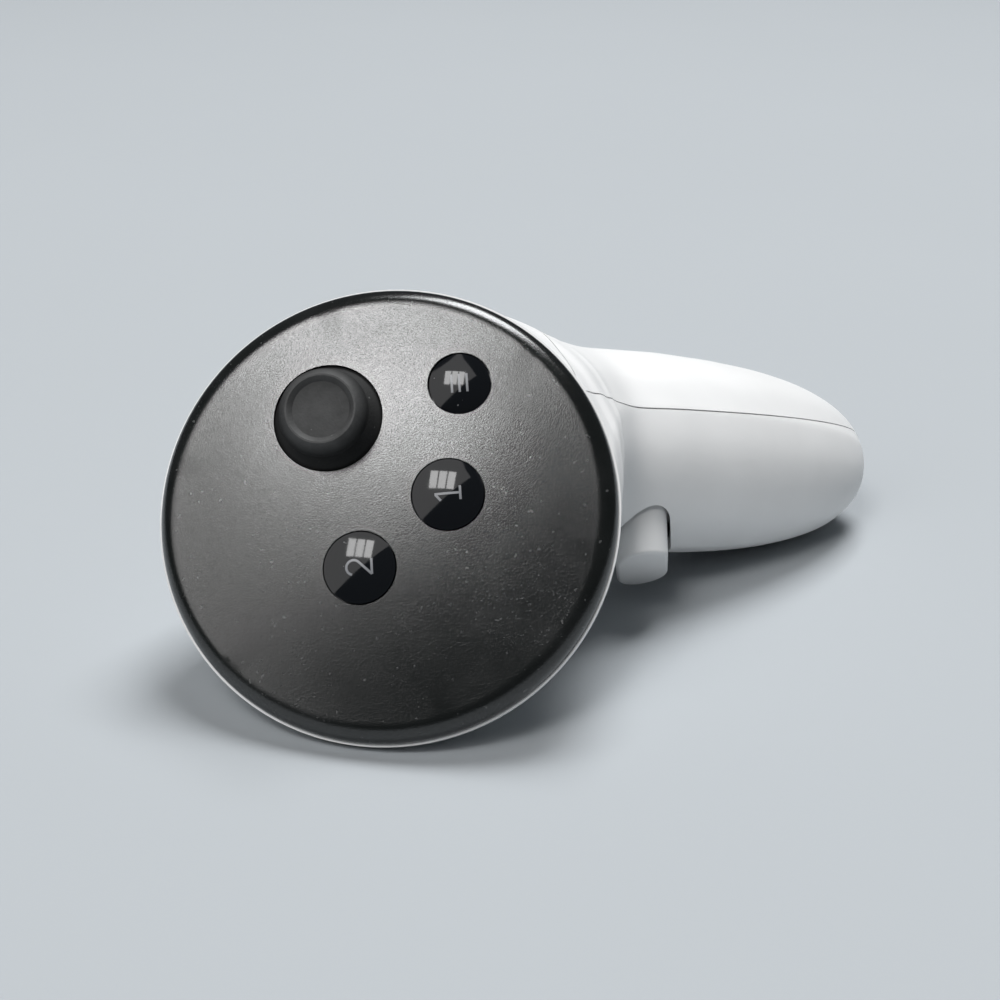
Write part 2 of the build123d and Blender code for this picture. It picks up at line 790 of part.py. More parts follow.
def make_grip_button():
    """Pill-shaped grip lever with a leaning outer face, a retaining flange and a hub."""
    low, high = grip_face_x - overrun, grip_inner_x
    body = Pos(high, 0, 0) * extrude(Plane.YZ * grip_outline(), low - high, taper=grip_taper)
    middle = (grip_at_y, (grip_near_z + grip_far_z) / 2)
    cutter = Box(seam_size, seam_size, seam_size, align=(Align.MAX, Align.CENTER, Align.CENTER))
    body -= Pos(grip_face_x, *middle) * Rot(0, grip_face_lean, grip_face_turn) * cutter
    outer_edges = body.faces().sort_by(Axis.X)[0].edges()
    body = fillet(outer_edges, grip_edge_radius)
    flange = slab(grip_outline(grip_flange), grip_inner_x - grip_flange_thickness, grip_inner_x)
    body += flange & room
    x, z = grip_pivot
    y_low, y_high = grip_at_y - grip_hub_half, grip_at_y + grip_hub_half - grip_spring_room
    body += ahead_rod(grip_hub_radius, y_low, y_high, x, z)
    arm_low = (grip_inner_x - grip_flange_thickness, y_low, z)
    body += solid_box(arm_low, (x, y_high, grip_far_z + grip_hub_radius))
    body -= ahead_rod(grip_pin_radius + running_gap, y_low - overrun, y_high + overrun, x, z)
    magnet_x, magnet_z = grip_magnet_place()
    low_y, high_y = grip_at_y - magnet_half, grip_at_y + magnet_half
    body -= ahead_rod(magnet_radius, low_y, high_y, magnet_x, magnet_z)
    return body


def grip_magnet_place():
    """Place of the magnet inside the grip button, near its free end."""
    return grip_inner_x - grip_flange_thickness - magnet_radius, grip_near_z - 2 * magnet_radius


def make_grip_slot():
    """Opening in the shell for the grip button, with room at its swinging end."""
    return slab(grip_outline(grip_gap, grip_end_gap - grip_gap), -seam_size, handle_offset)


def cell_spot(along):
    """Location on the battery's axis."""
    return in_handle(cell_aside, 0, along)


# Ends of the battery tray's room, measured from the cell's flat-faced start
tray_low = -cell_nub_height - contact_gap - contact_thickness
tray_high = cell_length + cell_spring_room
tray_inner = cell_radius + cell_gap
tray_outer = tray_inner + cradle_wall
motor_low = tray_low - cradle_end_wall - motor_gap - motor_length


def make_cell():
    """Round battery cell with its raised end towards the head."""
    cell = rod(cell_radius, 0, cell_length) + rod(cell_nub_radius, -cell_nub_height, 0)
    return cell_spot(cell_start) * cell


def make_battery_cradle():
    """Half tray for the cell and the motor, with screw tabs and two ears for the grip's pin."""
    half_space = Box(seam_size, seam_size, seam_size, align=(Align.MAX, Align.CENTER, Align.CENTER))
    tray = tube(tray_outer, tray_inner, tray_low - cradle_end_wall, tray_high + cradle_end_wall)
    tray = tray & half_space
    end_space = Pos(seam_rise - cell_aside - seam_gap, 0, 0) * half_space
    for wall_low in (tray_low - cradle_end_wall, tray_high):
        tray += rod(tray_outer, wall_low, wall_low + cradle_end_wall) & end_space
    motor_inner = motor_radius + motor_fit
    pocket = tube(motor_inner + cradle_wall, motor_inner, motor_low, tray_low)
    tray += (pocket & half_space) - rod(motor_inner, motor_low - overrun, tray_low - cradle_end_wall)
    tray = (cell_spot(cell_start) * tray) & room
    inside = cell_spot(cell_start) * rod(tray_inner + cradle_wall / 2, motor_low, tray_high + overrun)
    extras = make_grip_ears() + make_grip_board_post() + make_tray_tabs()
    tray += (extras & room) - inside
    x, z = grip_pivot
    tray -= ahead_rod(grip_pin_radius, -seam_size, 0, x, z)
    for spot in tab_spots():
        tray -= spot * rod(screw_radius + screw_slack, -overrun, overrun)
    return tray


def make_grip_ears():
    """Two ears beside the grip button's hub that hold its pin."""
    x, z = grip_pivot
    group = []
    for side in (-1, 1):
        inner_y = grip_at_y + side * (grip_hub_half + grip_gap)
        y_low, y_high = sorted((inner_y, inner_y + side * ear_thickness))
        ear = ahead_rod(grip_hub_radius, y_low, y_high, x, z)
        low_z = z - grip_hub_radius
        ear += solid_box((x, y_low, low_z), (x + ear_reach, y_high, z + grip_hub_radius))
        ear += solid_box((x + ear_rise_start, y_low, low_z), (x + ear_reach, y_high, z + ear_rise))
        group.append(ear)
    return group[0] + group[1]


def make_grip_board_post():
    """Post on the tray that holds the grip button's sensor board."""
    board_width, board_height, thickness = grip_board
    _, magnet_z = grip_magnet_place()
    low_x = grip_board_x + thickness
    low = (low_x, grip_at_y - board_width / 2, magnet_z - board_height / 2)
    return solid_box(low, (low_x + ear_reach, grip_at_y + board_width / 2, magnet_z))


def tab_spots():
    """Locations of the tray's two screws, pointing away from the palm side."""
    sides = zip((-1, 1), tab_alongs)
    return [in_handle(tab_top, side * tab_aside, along) * Rot(0, -90, 0) for side, along in sides]


def make_tray_tabs():
    """Two flat tabs beside the tray, one for each screw."""
    pad = screw_head_radius + screw_slack
    tab = rod(pad, 0, tab_thickness)
    tab += solid_box((-pad, -tab_aside, 0), (pad, 0, tab_thickness))
    flipped = rod(pad, 0, tab_thickness)
    flipped += solid_box((-pad, 0, 0), (pad, tab_aside, tab_thickness))
    first, second = tab_spots()
    return first * flipped + second * tab


def make_tray_posts():
    """Posts on the shell's wall that take the tray's screws."""
    pad = screw_head_radius + screw_slack
    first, second = tab_spots()
    posts = first * rod(pad, tab_thickness, handle_half) + second * rod(pad, tab_thickness, handle_half)
    return posts & outer


def make_tray_screws():
    """Two screws that hold the tray to the shell."""
    return make_screws([spot * Pos(0, 0, -screw_head_height) for spot in tab_spots()], 0)


def make_contact_plate():
    """Flat spring plate at the cell's raised end."""
    plate = Box(2 * contact_half, 2 * contact_half, contact_thickness)
    return cell_spot(cell_start + tray_low + contact_thickness / 2) * plate


def make_cell_spring():
    """Coil contact at the cell's flat end."""
    spring = coil(cell_spring_radius, cell_spring_wire_radius, cell_spring_pitch, cell_spring_turns)
    return cell_spot(cell_start + cell_length + cell_spring_wire_radius + spring_end_gap) * spring


def make_motor():
    """Round vibration motor in front of the battery tray."""
    return cell_spot(cell_start + motor_low) * rod(motor_radius, 0, motor_length)


def make_pin_spring():
    """Coil of a return spring, standing on its end."""
    spring = coil(spring_radius, spring_wire_radius, spring_pitch, spring_turns)
    return Pos(0, 0, spring_wire_radius) * spring


def make_trigger_spring():
    """Return spring round the trigger's pin."""
    y, z = trigger_pivot
    hub_end = trigger_at_x + trigger_hub_half - trigger_spring_room
    return Pos(hub_end + spring_end_gap, y, z) * Rot(0, 90, 0) * make_pin_spring()


def make_grip_spring():
    """Return spring round the grip button's pin."""
    x, z = grip_pivot
    hub_end = grip_at_y + grip_hub_half - grip_spring_room
    return Pos(x, hub_end + spring_end_gap, z) * Rot(-90, 0, 0) * make_pin_spring()


def make_trigger_pin():
    """Pin through the ears of the frame and the trigger's hub."""
    y, z = trigger_pivot
    half = trigger_hub_half + trigger_gap + ear_thickness
    return side_rod(trigger_pin_radius, trigger_at_x - half, trigger_at_x + half, y, z)


def make_grip_pin():
    """Pin through the ears of the tray and the grip button's hub."""
    x, z = grip_pivot
    half = grip_hub_half + grip_gap + ear_thickness
    return ahead_rod(grip_pin_radius, grip_at_y - half, grip_at_y + half, x, z)


def make_trigger_magnet():
    """Round magnet inside the trigger."""
    low, high = trigger_at_x - magnet_half, trigger_at_x + magnet_half
    return side_rod(magnet_radius, low, high, *trigger_magnet_place())


def make_grip_magnet():
    """Round magnet inside the grip button."""
    low, high = grip_at_y - magnet_half, grip_at_y + magnet_half
    return ahead_rod(magnet_radius, low, high, *grip_magnet_place())


def make_trigger_sensor_board():
    """Small board on the side of the frame's ear that reads the trigger's magnet."""
    length, height, thickness = trigger_board
    y, _ = trigger_pivot
    ear_x = trigger_at_x - trigger_hub_half - trigger_gap - ear_thickness
    low = (ear_x - thickness, y - length / 2, frame_low - height)
    return solid_box(low, (ear_x, y + length / 2, frame_low))


def make_grip_sensor_board():
    """Small board on the tray that reads the grip button's magnet."""
    width, height, thickness = grip_board
    _, z = grip_magnet_place()
    low = (grip_board_x, grip_at_y - width / 2, z - height / 2)
    return solid_box(low, (grip_board_x + thickness, grip_at_y + width / 2, z + height / 2))


def cord_cuts():
    """Cord hole through the web at the handle's end, its flat seat and its notch."""
    seam_x = seam_rise + (cord_hole_along - handle_start) * tan(radians(seam_slope))
    web_high = seam_x - cord_notch_depth
    web_low = web_high - cord_web
    cuts = side_rod(cord_hole_radius, -handle_half, handle_half, 0, 0)
    cuts += side_rod(cord_seat_radius, -handle_half, web_low, 0, 0)
    notch_low = (web_high, -handle_half, -cord_notch_half)
    cuts += solid_box(notch_low, (handle_half, cord_notch_half, cord_notch_half))
    return in_handle(0, -cord_hole_aside, cord_hole_along) * cuts


def make_main_housing():
    """White shell: rim, bowl and handle, open for face, trigger, grip button and cover."""
    shell = outer - hollow
    shell += make_tray_posts()
    shell -= make_trigger_slot()
    shell -= make_grip_slot()
    shell -= palm_side(-seam_gap / 2)
    shell -= cord_cuts()
    for spot in tab_spots():
        shell -= spot * rod(screw_radius, -overrun, screw_length + overrun / 2)
    return shell


def make_battery_cover():
    """Palm-side half of the handle, from under the rim to the handle's end."""
    cover = (outer - hollow) & palm_side(seam_gap / 2)
    return cover - cord_cuts()


def lay_down(pieces):
    """All pieces as the wand lies on a table: lowest point at 0, box centred on the origin."""
    up = Vector(*rest_up).normalized()
    long_way = axis - up * axis.dot(up)
    standing = Plane(origin=(0, 0, 0), x_dir=long_way, z_dir=up)
    turned = Rot(0, 0, rest_turn) * standing.location.inverse()
    boxes = [(turned * piece).bounding_box() for piece in pieces.values()]
    low = [min(getattr(box.min, side) for box in boxes) for side in "XYZ"]
    high = [max(getattr(box.max, side) for box in boxes) for side in "XYZ"]
    shift = Pos(-(low[0] + high[0]) / 2, -(low[1] + high[1]) / 2, -low[2])
    return shift * turned


pieces = {
    "main_housing": make_main_housing(),
    "battery_cover": make_battery_cover(),
    "faceplate": make_faceplate(),
    "tact_switches": make_switches(),
    "button_mat": make_button_mat(),
    "main_board": make_main_board(),
    "inner_frame": make_inner_frame(),
    "light_ring_board": make_light_ring(),
    "tracking_lights": make_emitters(),
    "face_screws": make_screws(screw_spots(), frame_low - screw_head_height),
    "stick_cap": make_stick_cap(),
    "stick_stem": make_stick_stem(),
    "stick_cradle": make_stick_cradle(),
    "stick_arch": make_stick_arch(),
    "stick_base": make_stick_base(),
    "stick_sensor_right": stick_spot() * side_block(sensor_box, "right"),
    "stick_sensor_rear": stick_spot() * side_block(sensor_box, "rear"),
    "stick_click_switch": stick_spot() * side_block(click_box, "left"),
    "trigger": make_trigger(),
    "trigger_pin": make_trigger_pin(),
    "trigger_spring": make_trigger_spring(),
    "trigger_magnet": make_trigger_magnet(),
    "trigger_sensor_board": make_trigger_sensor_board(),
    "grip_button": make_grip_button(),
    "grip_pin": make_grip_pin(),
    "grip_spring": make_grip_spring(),
    "grip_magnet": make_grip_magnet(),
    "grip_sensor_board": make_grip_sensor_board(),
    "battery_cell": make_cell(),
    "battery_cradle": make_battery_cradle(),
    "tray_screws": make_tray_screws(),
    "contact_plate": make_contact_plate(),
    "contact_spring": make_cell_spring(),
    "haptic_motor": make_motor(),
}
for name, (place, radius, proud) in button_places.items():
    pieces[name] = make_button(place, radius, proud)

laid = lay_down(pieces)
for name, piece in pieces.items():
    export_step(laid * piece, f"parts/{name}.step")
print("least gap between the turns of a pin spring:", coil_self_gap(spring_wire_radius, spring_pitch))
contact_spring_gap = coil_self_gap(cell_spring_wire_radius, cell_spring_pitch)
print("least gap between the turns of the contact spring:", contact_spring_gap)
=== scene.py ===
"""Looks for the motion controller wand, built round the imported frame."""

import json
import logging
import math
from dataclasses import dataclass, replace
from enum import Enum

import bmesh
import bpy
from mathutils import Matrix, Vector

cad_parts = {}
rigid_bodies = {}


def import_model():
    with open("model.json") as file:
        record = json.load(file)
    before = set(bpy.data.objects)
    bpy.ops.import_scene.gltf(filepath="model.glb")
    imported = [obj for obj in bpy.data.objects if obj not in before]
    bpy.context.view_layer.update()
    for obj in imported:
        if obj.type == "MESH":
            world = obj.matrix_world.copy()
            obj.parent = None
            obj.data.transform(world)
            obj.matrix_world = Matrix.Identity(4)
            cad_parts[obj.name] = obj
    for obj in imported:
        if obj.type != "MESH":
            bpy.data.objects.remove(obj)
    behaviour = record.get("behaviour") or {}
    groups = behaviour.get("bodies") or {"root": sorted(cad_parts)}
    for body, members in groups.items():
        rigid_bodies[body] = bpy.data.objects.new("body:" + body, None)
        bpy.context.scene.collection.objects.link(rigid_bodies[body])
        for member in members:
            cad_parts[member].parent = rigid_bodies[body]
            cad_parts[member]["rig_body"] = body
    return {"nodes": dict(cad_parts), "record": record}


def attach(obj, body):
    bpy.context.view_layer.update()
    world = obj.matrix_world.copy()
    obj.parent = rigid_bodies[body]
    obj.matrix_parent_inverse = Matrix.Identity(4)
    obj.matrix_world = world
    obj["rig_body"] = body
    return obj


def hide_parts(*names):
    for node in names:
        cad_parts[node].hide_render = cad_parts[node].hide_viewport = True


log = logging.getLogger("wand")

MM = 0.001
PHOTO_PIXELS = 1000
SENSOR_MM = 36.0


class Grain(Enum):
    """How fine a moulded surface's noise is, in cells per metre."""

    SPECK = 7000.0
    FINE = 5200.0
    MEDIUM = 4200.0


@dataclass(frozen=True)
class WandFrame:
    """The wand's own frame: X to the palm side, Y forward, Z out of the face, in mm.

    The rows and the shift are the placement that lays the part on the table.
    """

    rows: tuple = (
        (0.2389992, -0.8327465, -0.4994123),
        (0.5809935, 0.5347332, -0.6136016),
        (0.7780269, -0.1435050, 0.6116212),
    )
    shift: tuple = (-36.5345682, -8.4699720, 27.7035244)

    def turn(self) -> Matrix:
        """Return the rotation from the wand's frame to the row frame."""
        return Matrix(self.rows)

    def at(self, x: float, y: float, z: float) -> Vector:
        """Place a point.

        Args:
            x: towards the palm side, in mm.
            y: forward, in mm.
            z: out of the face, in mm.

        Returns:
            The point in the row frame, in metres.
        """
        return (self.turn() @ Vector((x, y, z)) + Vector(self.shift)) * MM


WAND = WandFrame()


class Sock:
    """A shader socket that takes part in plain expressions."""

    def __init__(self, maker: "NodeMaker", socket: bpy.types.NodeSocket) -> None:
        """Wrap a socket.

        Args:
            maker: the tree's node maker.
            socket: the output socket to wrap.
        """
        self.maker = maker
        self.socket = socket

    def _math(self, operation: str, other: object) -> "Sock":
        """Add one Math node that starts from this socket.

        Args:
            operation: the Math node's operation.
            other: its second value or link.

        Returns:
            The node's output.
        """
        return self.maker.add("ShaderNodeMath", {"operation": operation}, {0: self, 1: other})

    def __add__(self, other: object) -> "Sock":
        """Return the sum."""
        return self._math("ADD", other)

    def __sub__(self, other: object) -> "Sock":
        """Return the difference."""
        return self._math("SUBTRACT", other)

    def __mul__(self, other: object) -> "Sock":
        """Return the product."""
        return self._math("MULTIPLY", other)

    def __gt__(self, other: object) -> "Sock":
        """Return 1 where this is larger."""
        return self._math("GREATER_THAN", other)


class NodeMaker:
    """Builds one material's node tree."""

    MIX_SHARE, MIX_LOW, MIX_HIGH, MIX_RESULT = 0, 6, 7, 2

    def __init__(self, name: str) -> None:
        """Start an empty material.

        Args:
            name: the material's name.
        """
        self.material = bpy.data.materials.new(name)
        self.material.use_nodes = True
        self.tree = self.material.node_tree
        self.tree.nodes.clear()

    def add(self, kind: str, settings: dict, values: dict, output: object = 0) -> Sock:
        """Add a node of any type.

        Args:
            kind: the node's type name.
            settings: attributes to set first, with a ramp's stops under "stops".
            values: each input's value or link, by name or number.
            output: the output to return, by name or number.

        Returns:
            The chosen output, wrapped.
        """
        node = self.tree.nodes.new(kind)
        for key, value in settings.items():
            if key == "stops":
                for element, (place, shade) in zip(node.color_ramp.elements, value):
                    element.position = place
                    element.color = (shade, shade, shade, 1.0)
            else:
                setattr(node, key, value)
        for key, value in values.items():
            if isinstance(value, Sock):
                self.tree.links.new(value.socket, node.inputs[key])
            else:
                node.inputs[key].default_value = value
        return Sock(self, node.outputs[output])

    def here(self) -> Sock:
        """Return the piece's own object coordinates."""
        return self.add("ShaderNodeTexCoord", {}, {}, "Object")

    def along(self, heading: tuple) -> Sock:
        """Measure how far a point lies along one of the wand's directions.

        Args:
            heading: a unit direction in the wand's frame.

        Returns:
            The distance from the wand's origin, in mm.
        """
        way = WAND.turn() @ Vector(heading)
        values = {0: self.here(), 1: tuple(way)}
        reach = self.add("ShaderNodeVectorMath", {"operation": "DOT_PRODUCT"}, values, "Value")
        return reach * (1.0 / MM) - way.dot(Vector(WAND.shift))

    def noise(self, place: Sock, scale: float, detail: float = 4.0, rough: float = 0.55) -> Sock:
        """Add a noise pattern.

        Args:
            place: the coordinates.
            scale: cells per metre.
            detail: octaves.
            rough: how strong the finer octaves are.

        Returns:
            A value from 0 to 1.
        """
        values = {"Vector": place, "Scale": scale, "Detail": detail, "Roughness": rough}
        return self.add("ShaderNodeTexNoise", {}, values, "Fac")

    def ramp(self, value: Sock, low: float, high: float, floor: float = 0.0) -> Sock:
        """Remap a value so that it rises between two places.

        Args:
            value: the value.
            low: where it starts to rise.
            high: where it reaches 1.
            floor: the level below the start.

        Returns:
            The remapped value.
        """
        stops = ((low, floor), (high, 1.0))
        return self.add("ShaderNodeValToRGB", {"stops": stops}, {"Fac": value}, "Color")

    @staticmethod
    def opaque(colour: object) -> object:
        """Return a plain colour with its alpha, or a link as it is."""
        return colour if isinstance(colour, Sock) else (*colour, 1.0)

    def mix(self, share: Sock, low: object, high: object) -> Sock:
        """Mix two colours.

        Args:
            share: 0 for the first, 1 for the second.
            low: the first colour or link.
            high: the second colour or link.

        Returns:
            The mixed colour.
        """
        values = {
            self.MIX_SHARE: share,
            self.MIX_LOW: self.opaque(low),
            self.MIX_HIGH: self.opaque(high),
        }
        return self.add("ShaderNodeMix", {"data_type": "RGBA"}, values, self.MIX_RESULT)

    def bump(self, height: Sock, depth: float, strength: float = 1.0) -> Sock:
        """Turn a height into a normal.

        Args:
            height: the height pattern.
            depth: what one unit of it stands for, in metres.
            strength: the share of the effect.

        Returns:
            The normal.
        """
        values = {"Height": height, "Distance": depth, "Strength": strength}
        return self.add("ShaderNodeBump", {}, values, "Normal")

    def finish(self, values: dict) -> bpy.types.Material:
        """Close the tree with a principled shader.

        Args:
            values: its inputs' values or links.

        Returns:
            The material.
        """
        shader = self.add("ShaderNodeBsdfPrincipled", {}, values)
        output = self.tree.nodes.new("ShaderNodeOutputMaterial")
        self.tree.links.new(shader.socket, output.inputs["Surface"])
        return self.material


@dataclass(frozen=True)
class Pattern:
    """Noise that rises from a floor to 1 between two of its values."""

    scale: float
    detail: float
    rough: float
    low: float
    high: float
    floor: float = 0.0

    def add(self, maker: NodeMaker, place: Sock) -> Sock:
        """Add the pattern to a material.

        Args:
            maker: the tree's node maker.
            place: the coordinates.

        Returns:
            A value from the floor to 1.
        """
        noise = maker.noise(place, self.scale, self.detail, self.rough)
        return maker.ramp(noise, self.low, self.high, self.floor)


@dataclass(frozen=True)
class Hairlines:
    """Fine parallel scratches that show in patches.

    The heading is the lines' direction in radians, the level the noise above which
    a line shows.
    """

    heading: float
    level: float
    fade: float = 0.02
    tilt: tuple = (0.6, 0.4)
    stretch: tuple = (90.0, 4200.0, 4200.0)
    patch: Pattern = Pattern(34.0, 2.0, 0.55, 0.5, 0.6)

    def add(self, maker: NodeMaker, place: Sock) -> Sock:
        """Add the lines to a material.

        Args:
            maker: the tree's node maker.
            place: the coordinates.

        Returns:
            1 on a line and 0 beside it.
        """
        turned = (self.tilt[0], self.heading, self.tilt[1])
        values = {"Vector": place, "Rotation": turned, "Scale": self.stretch}
        stretched = maker.add("ShaderNodeMapping", {}, values)
        streaks = Pattern(1.0, 1.0, 0.3, self.level, self.level + self.fade)
        return streaks.add(maker, stretched) * self.patch.add(maker, place)


@dataclass(frozen=True)
class MouldedPlastic:
    """Moulded plastic with a fine grain, faint colour drift, dust and hairlines.

    The dust, hairlines and sparkle are shares from 0, where there are none.
    """

    name: str
    colour: tuple
    roughness: float
    grain: Grain = Grain.FINE
    grain_depth: float = 0.00001
    dust: float = 0.0
    hairlines: float = 0.0
    specular: float = 0.5
    sparkle: float = 0.0
    grain_detail: float = 3.0
    grain_rough: float = 0.6
    drift: Pattern = Pattern(38.0, 3.0, 0.55, 0.35, 0.7)
    drift_shade: float = 0.93
    sheen_scale: float = 160.0
    sheen_span: float = 0.1
    specks: Pattern = Pattern(1450.0, 1.0, 0.4, 0.74, 0.77)
    speck_share: float = 0.6
    film: Pattern = Pattern(70.0, 4.0, 0.65, 0.45, 0.78)
    film_share: float = 0.1
    dust_colour: tuple = (0.4, 0.4, 0.4)
    dust_roughness: float = 0.3
    scratches: tuple = (Hairlines(0.3, 0.73), Hairlines(1.9, 0.74))
    scratch_colour: tuple = (0.12, 0.12, 0.12)
    scratch_depth: float = 0.5
    points: Pattern = Pattern(Grain.SPECK.value, 2.0, 0.6, 0.38, 0.62)

    def make(self) -> bpy.types.Material:
        """Return the material."""
        maker = NodeMaker(self.name)
        here = maker.here()
        height = maker.noise(here, self.grain.value, self.grain_detail, self.grain_rough)
        darker = tuple(part * self.drift_shade for part in self.colour)
        tint = maker.mix(self.drift.add(maker, here), darker, self.colour)
        sheen = maker.noise(here, self.sheen_scale)
        rough = sheen * self.sheen_span + (self.roughness - self.sheen_span / 2)
        if self.dust > 0.0:
            specks = self.specks.add(maker, here) * self.speck_share
            cover = (specks + self.film.add(maker, here) * self.film_share) * self.dust
            tint = maker.mix(cover, tint, self.dust_colour)
            rough = rough + cover * self.dust_roughness
        if self.hairlines > 0.0:
            first, second = (scratch.add(maker, here) for scratch in self.scratches)
            lines = first + second
            tint = maker.mix(lines * self.hairlines, tint, self.scratch_colour)
            height = height - lines * self.scratch_depth
        values = {
            "Base Color": tint,
            "Roughness": rough,
            "Specular IOR Level": self.specular,
            "Normal": maker.bump(height, self.grain_depth),
        }
        if self.sparkle > 0.0:
            values["Coat Weight"] = self.points.add(maker, here) * self.sparkle
            values["Coat Roughness"] = self.roughness
        return maker.finish(values)


@dataclass(frozen=True)
class GlossCap:
    """Polished dark plastic with a thin clear coat, faint smears and a few specks."""

    name: str
    colour: tuple
    roughness: float = 0.045
    specular: float = 0.22
    coat: float = 0.05
    coat_roughness: float = 0.02
    smear: Pattern = Pattern(210.0, 5.0, 0.65, 0.42, 0.75)
    smear_roughness: float = 0.04
    specks: Pattern = Pattern(1700.0, 1.0, 0.4, 0.78, 0.8)
    speck_colour: tuple = (0.3, 0.3, 0.31)
    speck_share: float = 0.3
    ripple_scale: float = 240.0
    ripple_detail: float = 2.0
    ripple_depth: float = 0.00001
    ripple_strength: float = 0.3

    def make(self) -> bpy.types.Material:
        """Return the material."""
        maker = NodeMaker(self.name)
        here = maker.here()
        specks = self.specks.add(maker, here) * self.speck_share
        smear = self.smear.add(maker, here) * self.smear_roughness
        ripple = maker.noise(here, self.ripple_scale, self.ripple_detail)
        values = {
            "Base Color": maker.mix(specks, self.colour, self.speck_colour),
            "Roughness": smear + specks + self.roughness,
            "Specular IOR Level": self.specular,
            "Coat Weight": self.coat,
            "Coat Roughness": self.coat_roughness,
            "Normal": maker.bump(ripple, self.ripple_depth, self.ripple_strength),
        }
        return maker.finish(values)


@dataclass(frozen=True)
class SoftRubber:
    """Matte rubber with a fine stipple, kept dark below a given height as painted shade and
    paler above it, partly in a wear pattern.

    The heights are out of the face, in mm.
    """

    name: str
    colour: tuple
    roughness: float = 0.62
    # Below the first height the colour stays dark as painted shade; by the second it is paler by
    # the step, in the wear pattern.
    shade_below: float = 8.0
    shade_clear_at: float = 10.0
    shade_step: float = 0.075
    worn_polish: float = 0.15
    wear: Pattern = Pattern(260.0, 4.0, 0.6, 0.3, 0.8, 0.4)
    dust: Pattern = Pattern(1500.0, 2.0, 0.4, 0.74, 0.78)
    dust_colour: tuple = (0.35, 0.35, 0.35)
    dust_share: float = 0.25
    stipple_scale: float = 2600.0
    stipple_depth: float = 0.000025
    stipple_strength: float = 0.8

    def make(self) -> bpy.types.Material:
        """Return the material."""
        maker = NodeMaker(self.name)
        here = maker.here()
        values = {"Vector": here, "Scale": self.stipple_scale}
        stipple = maker.add("ShaderNodeTexVoronoi", {}, values, "Distance")
        # Painted shade: the rubber keeps its dark colour below the height and turns paler above
        # it, partly in a wear pattern.
        height = maker.along((0.0, 0.0, 1.0)) - self.shade_below
        unshaded = maker.ramp(height * (1.0 / (self.shade_clear_at - self.shade_below)), 0.0, 1.0)
        wear_above_shade = self.wear.add(maker, here) * unshaded
        paler = tuple(part + self.shade_step for part in self.colour)
        tint = maker.mix(wear_above_shade, self.colour, paler)
        dust = self.dust.add(maker, here) * self.dust_share
        values = {
            "Base Color": maker.mix(dust, tint, self.dust_colour),
            "Roughness": wear_above_shade * -self.worn_polish + (self.roughness + self.worn_polish),
            "Normal": maker.bump(stipple, self.stipple_depth, self.stipple_strength),
        }
        return maker.finish(values)


@dataclass(frozen=True)
class CellSleeve:
    """Battery sleeve with a coloured band and scuffs.

    The axis is the cell's, in the wand's frame, and the band's ends are in mm along it.
    """

    name: str
    base: tuple
    band: tuple
    axis: tuple = (0.0261769, -0.7657819, -0.6425675)
    band_from: float = 34.0
    band_to: float = 47.0
    roughness: float = 0.25
    scuffs: Pattern = Pattern(180.0, 4.0, 0.6, 0.4, 0.8)
    scuff_colour: tuple = (0.3, 0.3, 0.3)
    scuff_share: float = 0.3
    scuff_roughness: float = 0.2
    scuff_depth: float = 0.00001
    scuff_strength: float = 0.5

    def make(self) -> bpy.types.Material:
        """Return the material."""
        maker = NodeMaker(self.name)
        reach = maker.along(self.axis)
        inside = (reach > self.band_from) * (reach * -1.0 > -self.band_to)
        scuffs = self.scuffs.add(maker, maker.here())
        tint = maker.mix(inside, self.base, self.band)
        values = {
            "Base Color": maker.mix(scuffs * self.scuff_share, tint, self.scuff_colour),
            "Roughness": scuffs * self.scuff_roughness + self.roughness,
            "Normal": maker.bump(scuffs, self.scuff_depth, self.scuff_strength),
        }
        return maker.finish(values)


@dataclass(frozen=True)
class WorkedMetal:
    """Rolled or turned metal with fine lines and faint stains."""

    name: str
    colour: tuple
    roughness: float = 0.3
    stretch: tuple = (1.0, 14.0, 1.0)
    line_scale: float = 900.0
    line_detail: float = 3.0
    line_sheen: float = 0.18
    line_dip: float = 0.06
    line_depth: float = 0.000008
    line_strength: float = 0.5
    stain: Pattern = Pattern(120.0, 4.0, 0.55, 0.4, 0.8)
    stain_share: float = 0.6
    stain_shade: float = 0.7

    def make(self) -> bpy.types.Material:
        """Return the material."""
        maker = NodeMaker(self.name)
        here = maker.here()
        stretched = maker.add("ShaderNodeMapping", {}, {"Vector": here, "Scale": self.stretch})
        lines = maker.noise(stretched, self.line_scale, self.line_detail)
        stain = self.stain.add(maker, here) * self.stain_share
        darker = tuple(part * self.stain_shade for part in self.colour)
        values = {
            "Base Color": maker.mix(stain, self.colour, darker),
            "Metallic": 1.0,
            "Roughness": lines * self.line_sheen + (self.roughness - self.line_dip),
            "Normal": maker.bump(lines, self.line_depth, self.line_strength),
        }
        return maker.finish(values)


@dataclass(frozen=True)
class LacqueredBoard:
    """Circuit board lacquer with faint tracks under it."""

    name: str
    colour: tuple
    roughness: float = 0.3
    sheen_scale: float = 500.0
    sheen_span: float = 0.1
    track_scale: float = 420.0
    track_distortion: float = 2.5
    track_detail: float = 1.0
    track_edge: tuple = (0.62, 0.7)
    track_share: float = 0.7
    track_gain: float = 1.8
    track_lift: float = 0.01
    track_depth: float = 0.00002
    track_strength: float = 0.6

    def make(self) -> bpy.types.Material:
        """Return the material."""
        maker = NodeMaker(self.name)
        here = maker.here()
        settings = {"wave_type": "BANDS", "bands_direction": "X"}
        values = {
            "Vector": here,
            "Scale": self.track_scale,
            "Distortion": self.track_distortion,
            "Detail": self.track_detail,
        }
        waves = maker.add("ShaderNodeTexWave", settings, values, "Fac")
        tracks = maker.ramp(waves, *self.track_edge)
        paler = tuple(part * self.track_gain + self.track_lift for part in self.colour)
        values = {
            "Base Color": maker.mix(tracks * self.track_share, self.colour, paler),
            "Roughness": maker.noise(here, self.sheen_scale) * self.sheen_span + self.roughness,
            "Normal": maker.bump(tracks, self.track_depth, self.track_strength),
        }
        return maker.finish(values)


